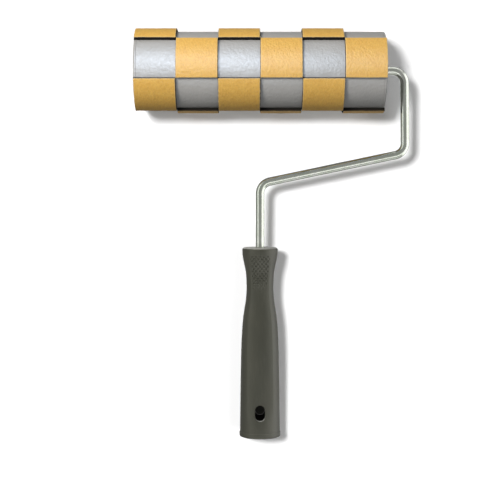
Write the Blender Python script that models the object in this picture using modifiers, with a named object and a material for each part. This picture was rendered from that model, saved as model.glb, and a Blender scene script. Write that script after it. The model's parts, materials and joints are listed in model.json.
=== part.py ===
"""Pattern roller for decorating: a bent wire frame with a moulded handle, and a free-turning roller
that carries foam pads in a checkerboard.

The tool lies on a flat surface, z = 0, which it touches with the pads under the roller and with the
lip at the handle's end. X runs along the axle, +Y runs from the handle to the roller, and the origin
is the middle of the base of the bounding box.
"""

import math

import bmesh
import bpy
from mathutils import Matrix, Vector

MM = 0.001
GAP = 0.3 * MM                      # clearance between pieces that touch or run on each other

# Roller
ROLLER_LENGTH = 180.0 * MM
COLUMNS = 6
ROWS = 6
CORE_RADIUS = 28.05 * MM
CORE_WALL = 2.0 * MM
PAD_OUTER_RADIUS = 30.7 * MM
PAD_ROW_ANGLE = math.radians(360.0 / ROWS)
PAD_ARC = math.radians(59.0)
PAD_COLUMN = ROLLER_LENGTH / COLUMNS
PAD_WIDTH = PAD_COLUMN - 0.4 * MM
PAD_FACETS = 8
FIRST_ROW_ANGLE = math.radians(12.8)  # middle of row 1, from straight up towards +Y

# End caps, with z = 0 at the roller's end face and +z pointing out of the roller
CAP_FLANGE = 1.8 * MM
CAP_EDGE = 1.2 * MM
CAP_SPIGOT_LENGTH = 15.0 * MM
CAP_WALL = 2.0 * MM
CAP_RIM_INNER = 22.5 * MM
CAP_WEB_TOP = -5.5 * MM
CAP_WEB_BOTTOM = -8.0 * MM
CAP_RIBS = 6
CAP_RIB_TOP = -1.5 * MM
CAP_RIB_WIDTH = 2.0 * MM
HUB_RADIUS = 11.5 * MM
HUB_BOTTOM = -18.0 * MM
COUNTERBORE_RADIUS = 8.3 * MM
COUNTERBORE_FLOOR = -6.5 * MM
BUSH_SEAT_RADIUS = 6.3 * MM

# Pieces on the axle, all measured inwards from the roller's end face
BUSH_BORE_RADIUS = 3.5 * MM
BUSH_RADIUS = BUSH_SEAT_RADIUS - GAP
BUSH_FLANGE_RADIUS = 7.6 * MM
BUSH_FLANGE_TOP = -5.0 * MM
BUSH_FLANGE_BOTTOM = COUNTERBORE_FLOOR + GAP
BUSH_BOTTOM = -17.5 * MM
WASHER_RADIUS = 6.6 * MM
WASHER_TOP = -3.9 * MM
WASHER_BOTTOM = -4.7 * MM
COLLAR_RADIUS = 6.2 * MM
COLLAR_TOP = -0.6 * MM
COLLAR_BOTTOM = -3.6 * MM
NUT_RADIUS = 6.4 * MM
NUT_TOP = -2.9 * MM
NUT_BOTTOM = -3.6 * MM
NUT_DISH = 0.5 * MM
COVER_RADIUS = COUNTERBORE_RADIUS - GAP
COVER_DISC = 1.2 * MM
COVER_SKIRT = 2.2 * MM
COVER_WALL = 1.0 * MM
AXLE_END_DEPTH = 2.3 * MM

# Wire frame, in the tool's own plane: across = along the axle from the roller's middle,
# down = from the axle towards the handle
WIRE_RADIUS = 3.15 * MM
WIRE_BEND_RADIUS = 8.8 * MM
WIRE_BEND_STEP = math.radians(13.0)
LEG_TOP_ACROSS = 105.0 * MM
LEG_FOOT_ACROSS = 105.8 * MM
LEG_FOOT_DOWN = 59.6 * MM
SHANK_CORNER_DOWN = 81.8 * MM
WIRE_IN_HANDLE = 70.0 * MM

# Handle, on the roller's middle line
HANDLE_TOP_DOWN = 130.0 * MM
HANDLE_LENGTH = 137.8 * MM
HANDLE_STEPS = 36
LIP_RADIUS = 15.1 * MM
LIP_HEIGHT = 3.2 * MM
LIP_STEP = 0.45 * MM
TOP_EDGE = 1.3 * MM
# height above the handle's end and radius there: grip, swell, taper, neck, flare
GRIP_STATIONS = (
    (4.8 * MM, 14.7 * MM),
    (33.0 * MM, 14.35 * MM),
    (62.0 * MM, 13.85 * MM),
    (78.0 * MM, 13.15 * MM),
    (88.0 * MM, 12.3 * MM),
    (96.0 * MM, 11.15 * MM),
    (103.0 * MM, 10.15 * MM),
    (111.0 * MM, 9.85 * MM),
    (121.0 * MM, 10.4 * MM),
    (129.5 * MM, 12.1 * MM),
    (135.8 * MM, 13.1 * MM),
)
GRIP_SUBDIVISIONS = 3
SOCKET_MOUTH_RADIUS = 11.0 * MM
SOCKET_END_RADIUS = 9.6 * MM
SOCKET_DEPTH = 58.0 * MM
SOCKET_CONE = 5.0 * MM
SOCKET_EDGE = 0.8 * MM
WIRE_BORE_RADIUS = WIRE_RADIUS + GAP
HANG_HOLE_HEIGHT = 18.9 * MM        # centre, above the handle's end
HANG_HOLE_WIDTH = 7.3 * MM
HANG_HOLE_LENGTH = 11.2 * MM

TURNED_STEPS = 40


# ---------------------------------------------------------------- where the pieces are

def wire_corners():
    """The wire's corner points in the tool's plane: axle end, two leg corners, shank corner, end."""
    axle_end = Vector((-ROLLER_LENGTH / 2 + AXLE_END_DEPTH, 0.0))
    leg_top = Vector((LEG_TOP_ACROSS, 0.0))
    leg_foot = Vector((LEG_FOOT_ACROSS, -LEG_FOOT_DOWN))
    shank_corner = Vector((0.0, -SHANK_CORNER_DOWN))
    wire_end = Vector((0.0, -HANDLE_TOP_DOWN - WIRE_IN_HANDLE))
    return [axle_end, leg_top, leg_foot, shank_corner, wire_end]


def rounded_path(corners, radius, step):
    """Points along straight runs joined by arcs of one bend radius."""
    points = [corners[0].copy()]
    for before, corner, after in zip(corners, corners[1:], corners[2:]):
        back = (before - corner).normalized()
        ahead = (after - corner).normalized()
        half_angle = back.angle(ahead) / 2
        middle = (back + ahead).normalized()
        centre = corner + middle * (radius / math.sin(half_angle))
        start = corner + back * (radius / math.tan(half_angle)) - centre
        turn = math.pi - 2 * half_angle
        side = 1.0 if back.x * ahead.y - back.y * ahead.x < 0 else -1.0
        count = max(3, round(turn / step))
        for i in range(count + 1):
            arm = start.copy()
            arm.rotate(Matrix.Rotation(side * turn * i / count, 2))
            points.append(centre + arm)
    points.append(corners[-1].copy())
    return points


WIRE_PATH = rounded_path(wire_corners(), WIRE_BEND_RADIUS, WIRE_BEND_STEP)
HANDLE_END_DOWN = HANDLE_TOP_DOWN + HANDLE_LENGTH
LIP_DOWN = HANDLE_END_DOWN - LIP_HEIGHT / 2

# The tool's plane is tilted about the axle until the lip and the pads touch the same surface.
TILT = (math.asin(PAD_OUTER_RADIUS / math.hypot(LIP_DOWN, LIP_RADIUS))
        - math.atan2(LIP_RADIUS, LIP_DOWN))
BACK_REACH = HANDLE_END_DOWN * math.cos(TILT) + LIP_RADIUS * math.sin(TILT)
RIGHT_REACH = max(point.x for point in WIRE_PATH) + WIRE_RADIUS
AXLE_CENTRE = Vector((
    (ROLLER_LENGTH / 2 - RIGHT_REACH) / 2,
    (BACK_REACH - PAD_OUTER_RADIUS) / 2,
    PAD_OUTER_RADIUS,
))


# ---------------------------------------------------------------- helpers

def clear_scene():
    for old in list(bpy.data.objects):
        bpy.data.objects.remove(old, do_unlink=True)


def new_collection(name):
    collection = bpy.data.collections.new(name)
    bpy.context.scene.collection.children.link(collection)
    return collection


def new_material(name, colour, roughness, metallic=0.0):
    material = bpy.data.materials.new(name)
    material.use_nodes = True
    shader = material.node_tree.nodes["Principled BSDF"]
    shader.inputs["Base Color"].default_value = (*colour, 1.0)
    shader.inputs["Roughness"].default_value = roughness
    shader.inputs["Metallic"].default_value = metallic
    material.diffuse_color = (*colour, 1.0)
    return material


def new_object(name, mesh, collection, material=None, parent=None):
    piece = bpy.data.objects.new(name, mesh)
    if material:
        mesh.materials.append(material)
    piece.parent = parent
    collection.objects.link(piece)
    return piece


def new_cutter(name, mesh, parent):
    cutter = new_object(name, mesh, CUTTERS, parent=parent)
    cutter.hide_render = True
    cutter.display_type = "WIRE"
    return cutter


def add_boolean(piece, cutter, operation):
    boolean = piece.modifiers.new(operation.title(), "BOOLEAN")
    boolean.operation = operation
    boolean.solver = "EXACT"
    boolean.object = cutter


def turned_piece(name, outline, material, parent, steps=TURNED_STEPS):
    """A closed outline of (radius, height) turned about the local Z axis.

    The outline runs down its outer side and back up its inner side.
    """
    mesh = bpy.data.meshes.new(name)
    points = [(radius, 0.0, height) for radius, height in outline]
    count = len(points)
    mesh.from_pydata(points, [(i, (i + 1) % count) for i in range(count)], [])
    piece = new_object(name, mesh, PARTS, material, parent)
    screw = piece.modifiers.new("Turn", "SCREW")
    screw.axis = "Z"
    screw.angle = 2 * math.pi
    screw.steps = steps
    screw.render_steps = steps
    screw.use_merge_vertices = True
    screw.merge_threshold = 0.00001
    screw.use_smooth_shade = True
    return piece


def turned_ring(name, inner, outer, bottom, top, material, parent, steps=24):
    outline = [(outer, top), (outer, bottom), (inner, bottom), (inner, top)]
    return turned_piece(name, outline, material, parent, steps)


def shade_round(pieces):
    """Smooth shading that still follows each piece's larger faces."""
    for piece in pieces:
        if piece.type == "MESH":
            piece.data.shade_smooth()
            piece.modifiers.new("Normals", "WEIGHTED_NORMAL")


def place_at_end(piece, side):
    """Set a piece made with +z out of the roller at the inboard (+1) or outboard (-1) end."""
    piece.location = (side * ROLLER_LENGTH / 2, 0.0, 0.0)
    piece.rotation_euler = (0.0, side * math.pi / 2, 0.0)


# ---------------------------------------------------------------- wire frame

def make_frame_wire(parent, material):
    curve = bpy.data.curves.new("frame_wire", "CURVE")
    curve.dimensions = "3D"
    spline = curve.splines.new("POLY")
    spline.points.add(len(WIRE_PATH) - 1)
    for point, place in zip(spline.points, WIRE_PATH):
        point.co = (place.x, place.y, 0.0, 1.0)
    curve.bevel_depth = WIRE_RADIUS
    curve.bevel_resolution = 4
    curve.use_fill_caps = True
    curve.materials.append(material)
    wire = bpy.data.objects.new("frame_wire", curve)
    wire.parent = parent
    PARTS.objects.link(wire)
    return wire


# ---------------------------------------------------------------- handle

def smooth_stations(stations, subdivisions):
    """A Catmull-Rom curve through the stations, ends included."""
    points = [Vector(station) for station in stations]
    ends = [2 * points[0] - points[1]] + points + [2 * points[-1] - points[-2]]
    smooth = []
    for a, b, c, d in zip(ends, ends[1:], ends[2:], ends[3:]):
        for i in range(subdivisions):
            t = i / subdivisions
            bend = 2 * b + (c - a) * t
            bend += (2 * a - 5 * b + 4 * c - d) * t ** 2
            bend += (3 * b - a - 3 * c + d) * t ** 3
            smooth.append(bend / 2)
    smooth.append(points[-1])
    return smooth


def handle_outline():
    grip = smooth_stations(GRIP_STATIONS, GRIP_SUBDIVISIONS)
    flare_radius = grip[-1].y
    outline = [(flare_radius - TOP_EDGE, HANDLE_LENGTH)]
    outline.append((flare_radius - 0.3 * TOP_EDGE, HANDLE_LENGTH - 0.35 * TOP_EDGE))
    for station in reversed(grip):
        outline.append((station.y, station.x))
    outline.append((LIP_RADIUS - LIP_STEP, LIP_HEIGHT + LIP_STEP))
    outline.append((LIP_RADIUS, LIP_HEIGHT))
    outline.append((LIP_RADIUS, LIP_STEP))
    outline.append((LIP_RADIUS - LIP_STEP, 0.0))
    outline.append((SOCKET_MOUTH_RADIUS + SOCKET_EDGE, 0.0))
    outline.append((SOCKET_MOUTH_RADIUS, SOCKET_EDGE))
    outline.append((SOCKET_END_RADIUS, SOCKET_DEPTH))
    outline.append((WIRE_BORE_RADIUS, SOCKET_DEPTH + SOCKET_CONE))
    outline.append((WIRE_BORE_RADIUS, HANDLE_LENGTH))
    return outline


def hang_hole_cutter(parent):
    """An obround bar across the handle: a cylinder drawn apart along its length."""
    shape = bmesh.new()
    radius = HANG_HOLE_WIDTH / 2
    bmesh.ops.create_cone(shape, cap_ends=True, segments=20, radius1=radius, radius2=radius,
                          depth=4 * LIP_RADIUS)
    bmesh.ops.rotate(shape, verts=shape.verts, matrix=Matrix.Rotation(math.pi / 20, 3, "Z"))
    stretch = (HANG_HOLE_LENGTH - HANG_HOLE_WIDTH) / 2
    for vertex in shape.verts:
        vertex.co.y += math.copysign(stretch, vertex.co.y)
    mesh = bpy.data.meshes.new("hang_hole")
    shape.to_mesh(mesh)
    shape.free()
    cutter = new_cutter("hang_hole", mesh, parent)
    cutter.location = (0.0, HANG_HOLE_HEIGHT - HANDLE_END_DOWN, 0.0)
    return cutter


def make_handle(parent, material):
    handle = turned_piece("handle", handle_outline(), material, parent, HANDLE_STEPS)
    handle.location = (0.0, -HANDLE_END_DOWN, 0.0)
    handle.rotation_euler = (-math.pi / 2, 0.0, 0.0)
    add_boolean(handle, hang_hole_cutter(parent), "DIFFERENCE")
    return handle


# ---------------------------------------------------------------- pieces fixed on the axle

def make_axle_pieces(parent, steel, plated):
    collar = turned_ring("stop_collar", WIRE_BORE_RADIUS, COLLAR_RADIUS, COLLAR_BOTTOM,
                         COLLAR_TOP, plated, parent)
    place_at_end(collar, 1)
    for end, side in (("inboard", 1), ("outboard", -1)):
        washer = turned_ring("thrust_washer_" + end, WIRE_BORE_RADIUS, WASHER_RADIUS,
                             WASHER_BOTTOM, WASHER_TOP, plated, parent)
        place_at_end(washer, side)
    dished = [
        (NUT_RADIUS, NUT_BOTTOM + NUT_DISH),
        (NUT_RADIUS, NUT_BOTTOM),
        (NUT_RADIUS - 2 * NUT_DISH, NUT_BOTTOM),
        (WIRE_BORE_RADIUS, NUT_TOP - NUT_DISH),
        (WIRE_BORE_RADIUS, NUT_TOP),
        (NUT_RADIUS - 2 * NUT_DISH, NUT_BOTTOM + NUT_DISH),
    ]
    nut = turned_piece("push_nut", dished, steel, parent, 24)
    place_at_end(nut, -1)


# ---------------------------------------------------------------- roller

def make_core_tube(parent, material):
    """The tube between the two end-cap flanges, lying along X."""
    half = ROLLER_LENGTH / 2 - CAP_FLANGE - GAP
    tube = turned_ring("core_tube", CORE_RADIUS - CORE_WALL, CORE_RADIUS, -half, half,
                       material, parent, 60)
    tube.rotation_euler = (0.0, math.pi / 2, 0.0)
    return tube


def end_cap_outline():
    spigot = CORE_RADIUS - CORE_WALL - GAP
    return [
        (CORE_RADIUS - CAP_EDGE, 0.0),
        (CORE_RADIUS - 0.3 * CAP_EDGE, -0.3 * CAP_EDGE),
        (CORE_RADIUS, -CAP_EDGE),
        (CORE_RADIUS, -CAP_FLANGE),
        (spigot, -CAP_FLANGE),
        (spigot, -CAP_SPIGOT_LENGTH),
        (spigot - CAP_WALL, -CAP_SPIGOT_LENGTH),
        (spigot - CAP_WALL, CAP_WEB_BOTTOM),
        (HUB_RADIUS, CAP_WEB_BOTTOM),
        (HUB_RADIUS, HUB_BOTTOM),
        (BUSH_SEAT_RADIUS, HUB_BOTTOM),
        (BUSH_SEAT_RADIUS, COUNTERBORE_FLOOR),
        (COUNTERBORE_RADIUS, COUNTERBORE_FLOOR),
        (COUNTERBORE_RADIUS, 0.0),
        (HUB_RADIUS, 0.0),
        (HUB_RADIUS, CAP_WEB_TOP),
        (CAP_RIM_INNER, CAP_WEB_TOP),
        (CAP_RIM_INNER, 0.0),
    ]


def end_cap_ribs(name, parent):
    """Radial ribs that stand on the web and run into the hub and the rim."""
    overlap = 0.8 * MM
    inner = HUB_RADIUS - overlap
    outer = CAP_RIM_INNER + overlap
    bottom = CAP_WEB_TOP - overlap
    shape = bmesh.new()
    for i in range(CAP_RIBS):
        box = bmesh.ops.create_cube(shape, size=1.0)["verts"]
        size = Vector((outer - inner, CAP_RIB_WIDTH, CAP_RIB_TOP - bottom))
        bmesh.ops.scale(shape, verts=box, vec=size)
        middle = Vector(((inner + outer) / 2, 0.0, (CAP_RIB_TOP + bottom) / 2))
        bmesh.ops.translate(shape, verts=box, vec=middle)
        turn = Matrix.Rotation(2 * math.pi * i / CAP_RIBS, 3, "Z")
        bmesh.ops.rotate(shape, verts=box, matrix=turn)
    mesh = bpy.data.meshes.new(name)
    shape.to_mesh(mesh)
    shape.free()
    return new_cutter(name, mesh, parent)


def make_roller_end(end, side, parent, plastic, acetal):
    cap = turned_piece("end_cap_" + end, end_cap_outline(), plastic, parent)
    place_at_end(cap, side)
    ribs = end_cap_ribs("ribs_" + end, parent)
    place_at_end(ribs, side)
    add_boolean(cap, ribs, "UNION")

    bush_outline = [
        (BUSH_FLANGE_RADIUS, BUSH_FLANGE_TOP),
        (BUSH_FLANGE_RADIUS, BUSH_FLANGE_BOTTOM),
        (BUSH_RADIUS, BUSH_FLANGE_BOTTOM),
        (BUSH_RADIUS, BUSH_BOTTOM),
        (BUSH_BORE_RADIUS, BUSH_BOTTOM),
        (BUSH_BORE_RADIUS, BUSH_FLANGE_TOP),
    ]
    bush = turned_piece("bush_" + end, bush_outline, acetal, parent, 32)
    place_at_end(bush, side)


def disc_mesh(name, radius, bottom, top):
    disc = bmesh.new()
    bmesh.ops.create_cone(disc, cap_ends=True, segments=32, radius1=radius, radius2=radius,
                          depth=top - bottom)
    bmesh.ops.translate(disc, verts=disc.verts, vec=(0.0, 0.0, (top + bottom) / 2))
    mesh = bpy.data.meshes.new(name)
    disc.to_mesh(mesh)
    disc.free()
    return mesh


def make_hub_cover(parent, material):
    """A disc with a short skirt: a solid disc, hollowed from the inside."""
    solid = disc_mesh("hub_cover", COVER_RADIUS, -COVER_SKIRT, 0.0)
    cover = new_object("hub_cover", solid, PARTS, material, parent)
    place_at_end(cover, -1)
    hollow = disc_mesh("hub_cover_hollow", COVER_RADIUS - COVER_WALL,
                       -2 * COVER_SKIRT, -COVER_DISC)
    cutter = new_cutter("hub_cover_hollow", hollow, parent)
    place_at_end(cutter, -1)
    add_boolean(cover, cutter, "DIFFERENCE")


def pad_mesh(material):
    """A curved sheet on the tube, given its thickness outwards by each pad's Solidify."""
    inner = CORE_RADIUS + GAP
    corners = []
    for i in range(PAD_FACETS + 1):
        angle = PAD_ARC * (i / PAD_FACETS - 0.5)
        place = (inner * math.sin(angle), inner * math.cos(angle))
        corners.append((-PAD_WIDTH / 2, *place))
        corners.append((PAD_WIDTH / 2, *place))
    faces = [(2 * i, 2 * i + 1, 2 * i + 3, 2 * i + 2) for i in range(PAD_FACETS)]
    mesh = bpy.data.meshes.new("foam_pad")
    mesh.from_pydata(corners, [], faces)
    mesh.materials.append(material)
    return mesh


def make_pads(parent, material):
    """Odd rows carry pads in the even columns, and even rows in the odd ones."""
    mesh = pad_mesh(material)
    for row in range(1, ROWS + 1):
        angle = FIRST_ROW_ANGLE + (row - 1) * PAD_ROW_ANGLE
        for column in range(1, COLUMNS + 1):
            if (row + column) % 2 == 0:
                continue
            pad = new_object(f"pad_c{column}_r{row}", mesh, PARTS, parent=parent)
            pad.location = ((column - (COLUMNS + 1) / 2) * PAD_COLUMN, 0.0, 0.0)
            pad.rotation_euler = (-angle, 0.0, 0.0)
            solidify = pad.modifiers.new("Thickness", "SOLIDIFY")
            solidify.thickness = PAD_OUTER_RADIUS - CORE_RADIUS - GAP
            solidify.offset = 1.0
            solidify.use_even_offset = False


# ---------------------------------------------------------------- the tool

clear_scene()
PARTS = new_collection("Textured pattern roller")
CUTTERS = new_collection("Cutters")

ZINC_PLATE = new_material("zinc_plate", (0.62, 0.66, 0.58), 0.28, 1.0)
SPRING_STEEL = new_material("spring_steel", (0.35, 0.36, 0.38), 0.35, 1.0)
HANDLE_PLASTIC = new_material("handle_plastic", (0.075, 0.075, 0.062), 0.5)
WHITE_PLASTIC = new_material("white_plastic", (0.78, 0.79, 0.82), 0.35)
ACETAL = new_material("acetal", (0.85, 0.85, 0.82), 0.4)
FOAM = new_material("foam", (0.80, 0.52, 0.18), 0.9)

tool_plane = bpy.data.objects.new("tool_plane", None)
tool_plane.location = AXLE_CENTRE
tool_plane.rotation_euler = (TILT, 0.0, 0.0)
PARTS.objects.link(tool_plane)

roller_axis = bpy.data.objects.new("roller_axis", None)
roller_axis.location = AXLE_CENTRE
PARTS.objects.link(roller_axis)

make_frame_wire(tool_plane, ZINC_PLATE)
make_handle(tool_plane, HANDLE_PLASTIC)
make_axle_pieces(tool_plane, SPRING_STEEL, ZINC_PLATE)
make_core_tube(roller_axis, WHITE_PLASTIC)
make_roller_end("inboard", 1, roller_axis, WHITE_PLASTIC, ACETAL)
make_roller_end("outboard", -1, roller_axis, WHITE_PLASTIC, ACETAL)
make_hub_cover(roller_axis, WHITE_PLASTIC)
make_pads(roller_axis, FOAM)
shade_round(PARTS.objects)
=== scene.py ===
# %% [markdown]
# # A textured pattern roller
# This decorator's roller prints a checkerboard on a wall. Its hard tube carries eighteen raised
# foam pads, and it spins on a bent wire that ends in a moulded handle.
# The imported model gives every piece's place. We load it first and keep its box, which places
# the floor and aims the lamps.

# %% Load the imported roller
import itertools
import json
import math

import bmesh
import bpy
import numpy as np
from mathutils import Matrix, Vector, noise


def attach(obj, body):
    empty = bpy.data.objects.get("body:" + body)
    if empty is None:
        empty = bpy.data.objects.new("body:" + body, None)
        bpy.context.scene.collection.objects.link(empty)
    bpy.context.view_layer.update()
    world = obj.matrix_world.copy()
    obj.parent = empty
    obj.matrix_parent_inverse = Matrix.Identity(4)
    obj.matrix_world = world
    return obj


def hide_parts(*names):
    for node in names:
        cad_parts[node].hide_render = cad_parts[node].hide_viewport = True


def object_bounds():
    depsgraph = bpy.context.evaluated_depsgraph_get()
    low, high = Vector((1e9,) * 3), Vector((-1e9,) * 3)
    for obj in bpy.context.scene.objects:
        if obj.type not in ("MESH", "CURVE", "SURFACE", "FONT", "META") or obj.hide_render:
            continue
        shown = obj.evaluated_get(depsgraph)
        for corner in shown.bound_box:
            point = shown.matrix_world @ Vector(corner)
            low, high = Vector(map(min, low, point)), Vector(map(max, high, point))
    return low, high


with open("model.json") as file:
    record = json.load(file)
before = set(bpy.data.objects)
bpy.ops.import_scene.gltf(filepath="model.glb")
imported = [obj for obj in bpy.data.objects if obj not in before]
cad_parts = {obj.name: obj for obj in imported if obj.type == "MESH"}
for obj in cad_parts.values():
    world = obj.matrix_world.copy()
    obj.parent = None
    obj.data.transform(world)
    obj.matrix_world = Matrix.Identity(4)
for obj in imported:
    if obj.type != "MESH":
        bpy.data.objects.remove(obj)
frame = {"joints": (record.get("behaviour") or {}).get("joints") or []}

cad_low, cad_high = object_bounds()
print("CAD box, mm:", [round(1000 * side, 1) for side in cad_high - cad_low])

# %% [markdown]
# ## Where things are
# The roller turns about its axle, and the wire and handle lie in a plane that tips down from the
# axle, because the tool rests on its pads and on the lip at the handle's end.
# The axle comes from the joint. The tilt comes from the height that the wire loses on its way to
# the handle, so it's worked out from the handle's top in that plane.

# %% Axle, tilt and the tool's own plane
MM = 0.001
AXLE = Vector(frame["joints"][0]["pos_m"])
ROLLER_LENGTH = 180.0 * MM
PAD_RADIUS = AXLE.z
HANDLE_TOP_DOWN = 130.0 * MM
HANDLE_LENGTH = 137.8 * MM
HANDLE_END_DOWN = HANDLE_TOP_DOWN + HANDLE_LENGTH
LIP_RADIUS = 15.1 * MM
LIP_HEIGHT = 3.2 * MM
HOLE_HEIGHT = 18.9 * MM

lip_down = HANDLE_END_DOWN - LIP_HEIGHT / 2
lip_reach = math.hypot(lip_down, LIP_RADIUS)
TILT = math.asin(PAD_RADIUS / lip_reach) - math.atan2(LIP_RADIUS, lip_down)
TOOL_PLANE = Matrix.Translation(AXLE) @ Matrix.Rotation(TILT, 4, "X")
print("tilt, degrees:", round(math.degrees(TILT), 3))

# %% [markdown]
# ## Shader maths as plain expressions
# A finish is easier to read as arithmetic than as a web of nodes. One small class stands for a
# node's output and turns `+ - * /` into Math nodes, and a second one holds the node tree and
# makes any other node from its type, its settings and its sockets.

# %% A node output that does arithmetic
class Flow:
    """One output of a node. Arithmetic on it adds Math nodes to the same tree."""

    def __init__(self, bench, socket):
        self.bench = bench
        self.socket = socket

    def maths(self, operation, first, second):
        return self.bench.node("ShaderNodeMath", {"operation": operation}, {0: first, 1: second})

    def __add__(self, other):
        return self.maths("ADD", self, other)

    def __radd__(self, other):
        return self.maths("ADD", other, self)

    def __sub__(self, other):
        return self.maths("SUBTRACT", self, other)

    def __rsub__(self, other):
        return self.maths("SUBTRACT", other, self)

    def __mul__(self, other):
        return self.maths("MULTIPLY", self, other)

    def __rmul__(self, other):
        return self.maths("MULTIPLY", other, self)


# %% The bench where nodes are put together
class Bench:
    """A node tree, with one method that makes any node in it."""

    def __init__(self, tree):
        self.tree = tree

    def join(self, value, socket):
        if isinstance(value, Flow):
            self.tree.links.new(value.socket, socket)
        else:
            socket.default_value = value

    def node(self, kind, settings=None, inputs=None, output=0):
        made = self.tree.nodes.new(kind)
        for name, value in (settings or {}).items():
            setattr(made, name, value)
        for key, value in (inputs or {}).items():
            self.join(value, made.inputs[key])
        return Flow(self, made.outputs[output])

    def mix(self, share, first, second):
        """A colour that goes from first to second as share goes from 0 to 1."""
        ends = [end if isinstance(end, Flow) else (*end, 1.0) for end in (first, second)]
        inputs = {0: share, 6: ends[0], 7: ends[1]}
        return self.node("ShaderNodeMix", {"data_type": "RGBA"}, inputs, output=2)

    def step(self, value, low, high):
        """0 below low, 1 above high, and a smooth rise between them."""
        settings = {"interpolation_type": "SMOOTHSTEP"}
        return self.node("ShaderNodeMapRange", settings, {0: value, 1: low, 2: high})

    def place(self):
        """Where a point is on its own piece, in metres. It stays put when the piece moves."""
        return self.node("ShaderNodeTexCoord", output=3)

    def marked(self, name, output=2):
        """A number (2) or a vector (1) that the mesh carries at each of its points."""
        return self.node("ShaderNodeAttribute", {"attribute_name": name}, output=output)

    def noise(self, where, size, detail=3.0, rough=0.55, stretch=(1.0, 1.0, 1.0)):
        """Cloudy values round 0.5, with lumps about one size across."""
        scale = tuple(1.0 / (size * s) for s in stretch)
        place = self.node("ShaderNodeVectorMath", {"operation": "MULTIPLY"}, {0: where, 1: scale})
        inputs = {"Vector": place, "Scale": 1.0, "Detail": detail, "Roughness": rough}
        return self.node("ShaderNodeTexNoise", None, inputs)

    def bump(self, height, depth):
        """A Bump node whose height runs from 0 to 1 over a depth in metres."""
        return self.node("ShaderNodeBump", None, {"Height": height, "Distance": depth})


# %% A finish is a bench with a surface shader on it
class Finish(Bench):
    def __init__(self, name, constants):
        self.material = bpy.data.materials.new(name)
        self.material.use_nodes = True
        super().__init__(self.material.node_tree)
        self.shader = self.tree.nodes["Principled BSDF"]
        for socket, value in constants.items():
            self.shader.inputs[socket].default_value = value

    def feed(self, **flows):
        """Links what changes over the surface: Base_Color, Roughness, Normal and so on."""
        for name, flow in flows.items():
            self.join(flow, self.shader.inputs[name.replace("_", " ")])


print("shader bench ready")

# %% [markdown]
# ## The camera
# The tool lies flat and is seen from straight above, so the camera looks down its own -Z axis.
# It stands about 0.95 m up with a long lens, which keeps the roller's ends nearly square on and
# still shows a little of the handle's top face.

# %% Camera
CAMERA_PLACE = Vector((-16.73, -11.43, 950.7)) * MM
LENS = 91.08
SENSOR = 36.0

camera_data = bpy.data.cameras.new("camera")
camera_data.lens = LENS
camera_data.sensor_width = SENSOR
camera = bpy.data.objects.new("camera", camera_data)
camera.location = CAMERA_PLACE
bpy.context.scene.collection.objects.link(camera)
bpy.context.scene.camera = camera
bpy.context.scene.view_settings.view_transform = "Standard"
view_width = (CAMERA_PLACE.z - AXLE.z) * SENSOR / LENS
print("width seen at the axle's height, mm:", round(1000 * view_width, 1))

# %% [markdown]
# ## The floor and the light
# A pale floor and one soft lamp, high on the left beyond the roller, throw the soft shadow down
# and to the right. A wide, weak panel on the other side keeps that shadow from going black. As in
# a catalogue studio, the tool has a lamp of its own, nearer and from the same side, so the floor
# can be nearly white while the tool keeps its modelling. Light linking says which lamp lights
# what. Far from the tool, where the floor's lamp no longer reaches, the paper glows a little, so
# it stays pale to the horizon. Under the hanging hole, hidden by the handle, a small dark round
# is painted on the paper: painted shade, so that the hole looks down into the dark.
# A plated wire shows only what it reflects. Pale cards stand round the table for it, wide and
# soft. They're lamps that only gloss can see, so they draw the bands along the wire and the
# light side of the handle without lighting anything else.

# %% Floor
FLOOR_HALF = 3.0
FLOOR_CUTS = 8
FLOOR_DROP = 0.05 * MM

floor_shape = bmesh.new()
bmesh.ops.create_grid(floor_shape, x_segments=FLOOR_CUTS, y_segments=FLOOR_CUTS, size=FLOOR_HALF)
floor_mesh = bpy.data.meshes.new("floor")
floor_shape.to_mesh(floor_mesh)
floor_shape.free()
floor = bpy.data.objects.new("floor", floor_mesh)
floor.location.z = cad_low.z - FLOOR_DROP
floor.visible_glossy = False
floor.visible_diffuse = False
bpy.context.scene.collection.objects.link(floor)

LIT_ROUND = (0.3, 2.0)
# A dark round painted on the paper under the hanging hole: painted shade, seen through the hole.
SHADE_SPOT_RADIUS = (4.8 * MM, 5.4 * MM)
SHADE_SPOT_SHIFT = 2.0 * MM
paper = Finish("pale_paper", {"Roughness": 0.9, "Specular IOR Level": 0.1,
                              "Emission Strength": 1.0})
from_tool = paper.node("ShaderNodeVectorMath", {"operation": "LENGTH"}, {0: paper.place()},
                       output=1)
far_away = paper.step(from_tool, *LIT_ROUND)
paper_cloud = paper.noise(paper.place(), 0.4, detail=2.0)
sheet = paper.mix(paper_cloud, (0.90, 0.90, 0.90), (0.93, 0.93, 0.93))
shade_spot_middle = TOOL_PLANE @ Vector((0.0, HOLE_HEIGHT - HANDLE_END_DOWN - SHADE_SPOT_SHIFT, 0.0))
from_hole = paper.node("ShaderNodeVectorMath", {"operation": "DISTANCE"},
                       {0: paper.place(), 1: (shade_spot_middle.x, shade_spot_middle.y, 0.0)}, output=1)
# Painted shade: the paper is darkened in a small round under the hanging hole.
painted_shade_spot = 1.0 - paper.step(from_hole, *SHADE_SPOT_RADIUS)
paper.feed(
    Base_Color=paper.mix(painted_shade_spot, sheet, (0.14, 0.14, 0.13)),
    Emission_Color=paper.mix(far_away, (0.0, 0.0, 0.0), (0.86, 0.86, 0.86)),
)
floor_mesh.materials.append(paper.material)
print("floor at z, mm:", round(1000 * floor.location.z, 2))

# %% Sky: dim for the light it gives, grey in reflections, nearly white where it's looked at
SKY_LIGHT = 0.13
SKY_GLOSS = 0.33
TABLE_GLOSS = 1.1
SKY_SEEN = 0.90
TABLE_BELOW = (-0.96, -0.86)

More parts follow.
